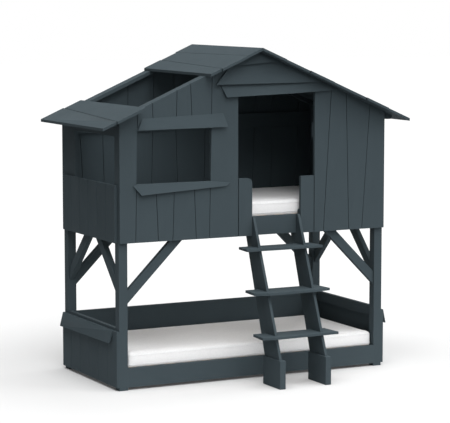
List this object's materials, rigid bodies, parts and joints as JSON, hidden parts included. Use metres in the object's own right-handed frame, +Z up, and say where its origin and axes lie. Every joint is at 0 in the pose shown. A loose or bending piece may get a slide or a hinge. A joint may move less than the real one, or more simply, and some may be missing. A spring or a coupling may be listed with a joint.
{
  "type": "cabin bunk bed",
  "caption": "Children's bunk bed built like a tree house: planked cabin with a gable roof, window and door over a low bed, with corner braces and a fixed ladder.",
  "frame": {"origin": "middle of the footprint on the floor, the footprint running from the ladder's foot to the rear ends of the roof boards", "axes": "+X along the bed to the right as seen from the front, +Y to the rear wall, +Z up; the ladder, door and window face -Y"},
  "size_m": [2.474, 1.4934, 2.394],
  "materials": {
    "painted_wood": "matt slate blue-grey paint over softwood, grain just showing",
    "slat_wood": "bare planed pine",
    "dowel_wood": "bare beech dowel",
    "mattress_fabric": "white woven cotton cover",
    "bolt_steel": "zinc-plated, sunk flush"
  },
  "bodies": {
    "frame": {"door_header_board": "painted_wood", "eave_rails": "painted_wood", "end_braces": "painted_wood", "end_top_rails": "painted_wood", "foot_blocks": "painted_wood", "front_left_plank": "painted_wood", "front_left_post": "painted_wood", "front_middle_plank": "painted_wood", "front_rafters": "painted_wood", "front_right_planks": "painted_wood", "front_right_post": "painted_wood", "gable_middle_board": "painted_wood", "gable_top_board": "painted_wood", "ladder_bolts": "bolt_steel", "left_corner_board": "painted_wood", "left_door_guard": "painted_wood", "left_end_trim_board": "painted_wood", "left_lower_end_boards": "painted_wood", "left_lower_roof_boards": "painted_wood", "left_stringer": "painted_wood", "left_upper_end_boards": "painted_wood", "left_upper_roof_boards": "painted_wood", "leg_blocks": "painted_wood", "leg_dowels": "dowel_wood", "lower_end_rails": "painted_wood", "lower_front_rail": "painted_wood", "lower_ladder_step": "painted_wood", "lower_ledgers": "painted_wood", "lower_rear_panel": "painted_wood", "lower_slats": "slat_wood", "middle_ladder_step": "painted_wood", "over_door_planks": "painted_wood", "over_window_planks": "painted_wood", "rail_dowels": "dowel_wood", "rear_left_post": "painted_wood", "rear_rafters": "painted_wood", "rear_right_post": "painted_wood", "rear_wall_planks": "painted_wood", "ridge_batten": "painted_wood", "right_door_guard": "painted_wood", "right_end_trim_board": "painted_wood", "right_lower_end_boards": "painted_wood", "right_roof_boards": "painted_wood", "right_stringer": "painted_wood", "right_upper_end_boards": "painted_wood", "side_braces": "painted_wood", "trim_cleats": "painted_wood", "under_window_planks": "painted_wood", "upper_end_rails": "painted_wood", "upper_front_rail": "painted_wood", "upper_ladder_step": "painted_wood", "upper_ledgers": "painted_wood", "upper_rear_rail": "painted_wood", "upper_slats": "slat_wood", "wall_battens": "painted_wood", "window_header_board": "painted_wood", "window_sill_board": "painted_wood"},
    "lower_bedding": {"lower_mattress": "mattress_fabric"},
    "upper_bedding": {"upper_mattress": "mattress_fabric"}
  },
  "joints": [
    {"name": "lower_mattress_lift", "type": "slide", "parent": "frame", "child": "lower_bedding", "axis": [0, 0, 1], "range_m": [0, 0.3]},
    {"name": "upper_mattress_lift", "type": "slide", "parent": "frame", "child": "upper_bedding", "axis": [0, 0, 1], "range_m": [0, 0.3]}
  ]
}
